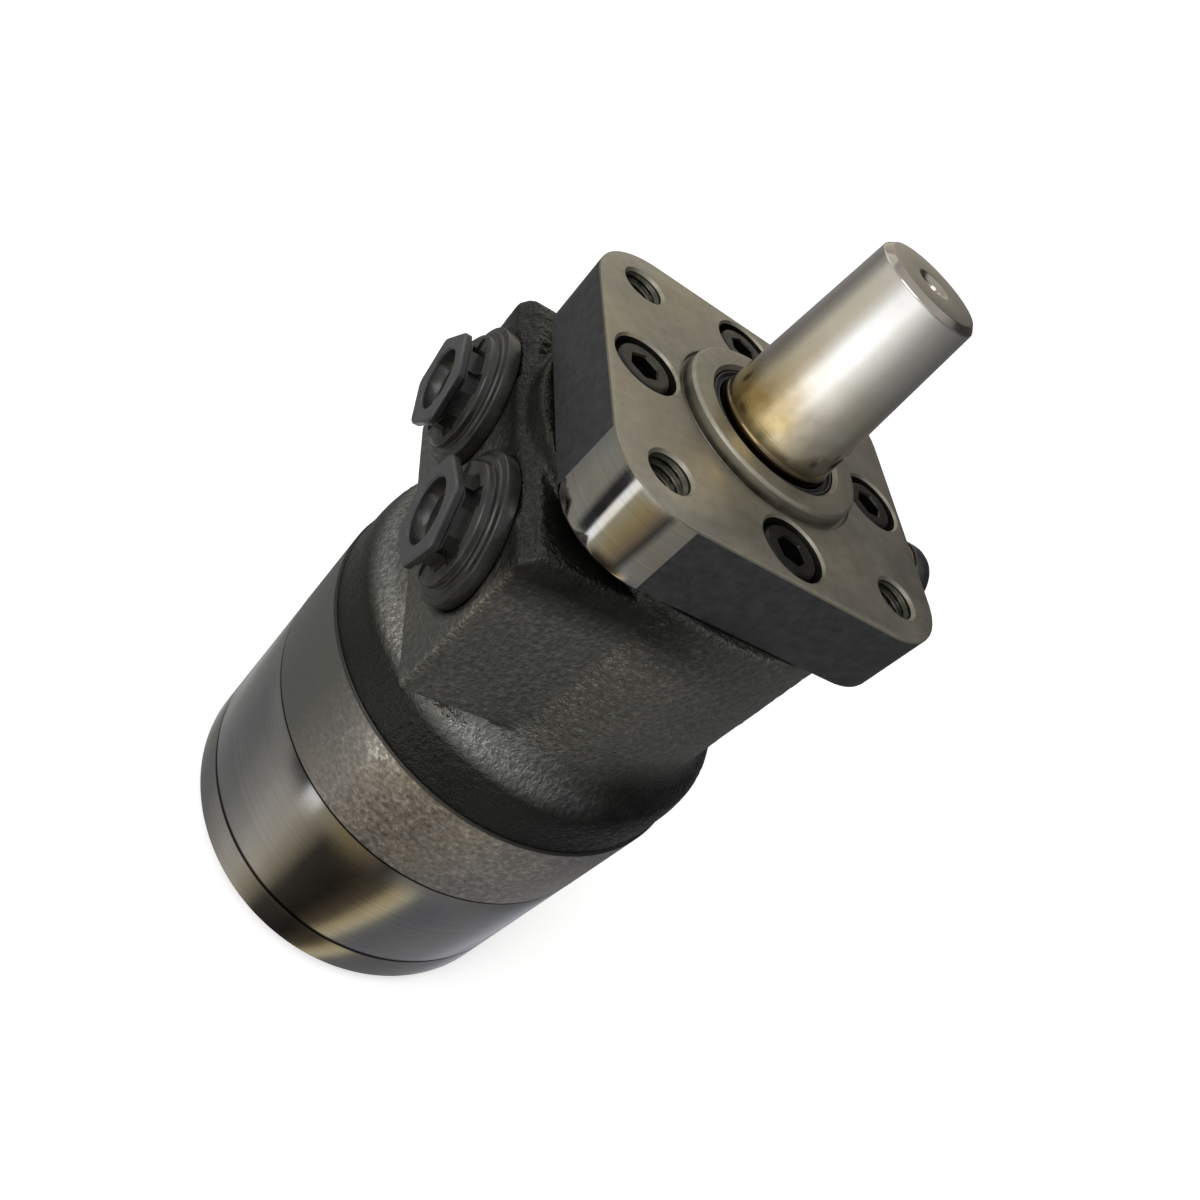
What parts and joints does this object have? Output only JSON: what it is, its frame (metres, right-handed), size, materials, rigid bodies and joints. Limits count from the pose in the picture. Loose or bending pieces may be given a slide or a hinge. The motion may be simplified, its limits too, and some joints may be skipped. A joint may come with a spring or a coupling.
{
  "type": "hydraulic motor",
  "caption": "Orbital hydraulic motor with a square threaded-hole mounting flange, plain output shaft, side ports and a round gear section.",
  "frame": {"origin": "centre of the end cover's rear face, on the shaft's axis", "axes": "+Z along the output shaft towards the drive end, ports facing -X, case drain plug facing +X"},
  "size_m": [0.1071, 0.1032, 0.2151],
  "materials": {
    "cast_iron": "dark rough casting",
    "flange_iron": "machined face, dark cast sides",
    "turned_steel": "fine turned, oily",
    "polished_steel": "ground and polished",
    "ground_steel": "ground",
    "black_oxide_steel": "black oxide",
    "zinc_steel": "zinc plated",
    "brass": "plain",
    "black_plastic": "moulded, slightly glossy",
    "black_rubber": "matt"
  },
  "bodies": {
    "casing": {"housing": "cast_iron", "mounting_flange": "flange_iron", "stator_ring": "turned_steel", "end_cover": "turned_steel", "thrust_race_front": "ground_steel", "check_ball_a": "ground_steel", "check_ball_b": "ground_steel", "flange_screw_1": "black_oxide_steel", "flange_screw_2": "black_oxide_steel", "flange_screw_3": "black_oxide_steel", "flange_screw_4": "black_oxide_steel", "cover_bolt_1": "zinc_steel", "cover_bolt_2": "zinc_steel", "cover_bolt_3": "zinc_steel", "cover_bolt_4": "zinc_steel", "cover_bolt_5": "zinc_steel", "cover_bolt_6": "zinc_steel", "cover_bolt_7": "zinc_steel", "cover_washer_1": "zinc_steel", "cover_washer_2": "zinc_steel", "cover_washer_3": "zinc_steel", "cover_washer_4": "zinc_steel", "cover_washer_5": "zinc_steel", "cover_washer_6": "zinc_steel", "cover_washer_7": "zinc_steel", "check_screw_a": "zinc_steel", "check_screw_b": "zinc_steel", "drain_washer": "brass", "port_plug_a": "black_plastic", "port_plug_b": "black_plastic", "drain_plug": "black_plastic", "shaft_seal": "black_rubber", "dust_seal": "black_rubber", "flange_o_ring": "black_rubber", "housing_o_ring": "black_rubber", "cover_o_ring": "black_rubber", "port_plug_o_ring_a": "black_rubber", "port_plug_o_ring_b": "black_rubber"},
    "shaft": {"output_shaft": "polished_steel", "thrust_race_rear": "ground_steel"},
    "needle_cage": {"thrust_needle_cage": "brass"},
    "orbit_carrier": {"rotor_spacer": "ground_steel"},
    "rotor": {"rotor": "ground_steel"},
    "drive_link": {"drive_link": "ground_steel"},
    "roller_1": {"roller_1": "ground_steel"},
    "roller_2": {"roller_2": "ground_steel"},
    "roller_3": {"roller_3": "ground_steel"},
    "roller_4": {"roller_4": "ground_steel"},
    "roller_5": {"roller_5": "ground_steel"},
    "roller_6": {"roller_6": "ground_steel"},
    "roller_7": {"roller_7": "ground_steel"}
  },
  "joints": [
    {"name": "shaft_spin", "type": "hinge", "parent": "casing", "child": "shaft", "pos_m": [0, 0, 0.19], "axis": [0, 0, 1], "continuous": true},
    {"name": "cage_spin", "type": "hinge", "parent": "casing", "child": "needle_cage", "pos_m": [0, 0, 0.1462], "axis": [0, 0, 1], "continuous": true},
    {"name": "rotor_orbit", "type": "hinge", "parent": "casing", "child": "orbit_carrier", "pos_m": [0, 0, 0.0316], "axis": [0, 0, 1], "continuous": true},
    {"name": "rotor_spin", "type": "hinge", "parent": "orbit_carrier", "child": "rotor", "pos_m": [0.0025, 0, 0.0316], "axis": [0, 0, 1], "continuous": true},
    {"name": "drive_link_spin", "type": "hinge", "parent": "orbit_carrier", "child": "drive_link", "pos_m": [0, 0, 0.109], "axis": [-0.0323, 0, 0.9995], "continuous": true},
    {"name": "roller_spin_1", "type": "hinge", "parent": "casing", "child": "roller_1", "pos_m": [0.0305, 0, 0.0316], "axis": [0, 0, 1], "continuous": true},
    {"name": "roller_spin_2", "type": "hinge", "parent": "casing", "child": "roller_2", "pos_m": [0.01902, 0.02385, 0.0316], "axis": [0, 0, 1], "continuous": true},
    {"name": "roller_spin_3", "type": "hinge", "parent": "casing", "child": "roller_3", "pos_m": [-0.00679, 0.02974, 0.0316], "axis": [0, 0, 1], "continuous": true},
    {"name": "roller_spin_4", "type": "hinge", "parent": "casing", "child": "roller_4", "pos_m": [-0.02748, 0.01323, 0.0316], "axis": [0, 0, 1], "continuous": true},
    {"name": "roller_spin_5", "type": "hinge", "parent": "casing", "child": "roller_5", "pos_m": [-0.02748, -0.01323, 0.0316], "axis": [0, 0, 1], "continuous": true},
    {"name": "roller_spin_6", "type": "hinge", "parent": "casing", "child": "roller_6", "pos_m": [-0.00679, -0.02974, 0.0316], "axis": [0, 0, 1], "continuous": true},
    {"name": "roller_spin_7", "type": "hinge", "parent": "casing", "child": "roller_7", "pos_m": [0.01902, -0.02385, 0.0316], "axis": [0, 0, 1], "continuous": true}
  ],
  "couplings": [
    {"joint": "cage_spin", "follows": "shaft_spin", "ratio": 0.5},
    {"joint": "rotor_orbit", "follows": "shaft_spin", "ratio": -6},
    {"joint": "rotor_spin", "follows": "shaft_spin", "ratio": 7},
    {"joint": "drive_link_spin", "follows": "shaft_spin", "ratio": 7}
  ]
}
